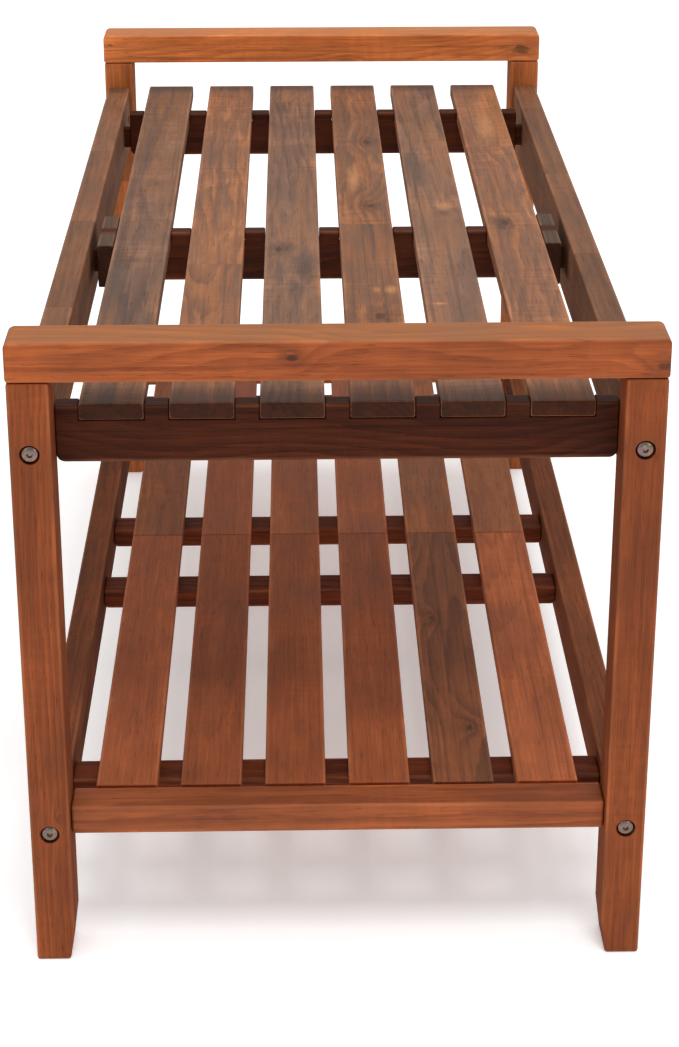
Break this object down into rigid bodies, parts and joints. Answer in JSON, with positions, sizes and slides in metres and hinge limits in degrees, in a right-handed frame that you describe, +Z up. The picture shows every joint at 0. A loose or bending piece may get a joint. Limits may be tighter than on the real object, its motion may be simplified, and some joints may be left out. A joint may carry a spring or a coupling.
{
  "type": "entryway bench",
  "caption": "Slatted wooden entryway bench with a handle rail over each end and an open slatted shoe shelf under the seat.",
  "frame": {"origin": "on the floor, under the middle of the bench", "axes": "+Z up, X across the bench, Y along it, with the near handle rail at -Y"},
  "size_m": [0.45, 0.9, 0.494],
  "materials": {
    "frame_wood": "oiled reddish-brown hardwood, satin, with fine lengthwise grain",
    "seat_wood": "oiled grey-brown hardwood with orange streaks and glued lengths",
    "shelf_wood": "oiled red-brown hardwood, satin, with sparse grain",
    "underframe_wood": "dark stained hardwood, satin",
    "zinc": "yellow zinc plating with a faint rainbow tint"
  },
  "bodies": {
    "root": {"handle_rail_near": "frame_wood", "lower_end_rail_near": "frame_wood", "leg_near_left": "frame_wood", "frame_bolt_upper_near_left": "zinc", "barrel_nut_upper_near_left": "zinc", "frame_bolt_lower_near_left": "zinc", "barrel_nut_lower_near_left": "zinc", "leg_near_right": "frame_wood", "frame_bolt_upper_near_right": "zinc", "barrel_nut_upper_near_right": "zinc", "frame_bolt_lower_near_right": "zinc", "barrel_nut_lower_near_right": "zinc", "handle_rail_far": "frame_wood", "lower_end_rail_far": "frame_wood", "leg_far_left": "frame_wood", "frame_bolt_upper_far_left": "zinc", "barrel_nut_upper_far_left": "zinc", "frame_bolt_lower_far_left": "zinc", "barrel_nut_lower_far_left": "zinc", "leg_far_right": "frame_wood", "frame_bolt_upper_far_right": "zinc", "barrel_nut_upper_far_right": "zinc", "frame_bolt_lower_far_right": "zinc", "barrel_nut_lower_far_right": "zinc", "upper_side_rail_left": "frame_wood", "lower_side_rail_left": "frame_wood", "upper_side_rail_right": "frame_wood", "lower_side_rail_right": "frame_wood", "seat_bar_near": "underframe_wood", "seat_bar_middle": "underframe_wood", "seat_bar_far": "underframe_wood", "glue_block_left_near": "underframe_wood", "glue_block_left_far": "underframe_wood", "glue_block_right_near": "underframe_wood", "glue_block_right_far": "underframe_wood", "seat_slat_1": "seat_wood", "shelf_slat_near_1": "shelf_wood", "shelf_slat_far_1": "shelf_wood", "seat_slat_2": "seat_wood", "shelf_slat_near_2": "shelf_wood", "shelf_slat_far_2": "shelf_wood", "seat_slat_3": "seat_wood", "shelf_slat_near_3": "shelf_wood", "shelf_slat_far_3": "shelf_wood", "seat_slat_4": "seat_wood", "shelf_slat_near_4": "shelf_wood", "shelf_slat_far_4": "shelf_wood", "seat_slat_5": "seat_wood", "shelf_slat_near_5": "shelf_wood", "shelf_slat_far_5": "shelf_wood", "seat_slat_6": "seat_wood", "shelf_slat_near_6": "shelf_wood", "shelf_slat_far_6": "shelf_wood", "shelf_bar_near_outer": "underframe_wood", "shelf_bar_near_inner": "underframe_wood", "shelf_bar_far_inner": "underframe_wood", "shelf_bar_far_outer": "underframe_wood"}
  },
  "joints": []
}
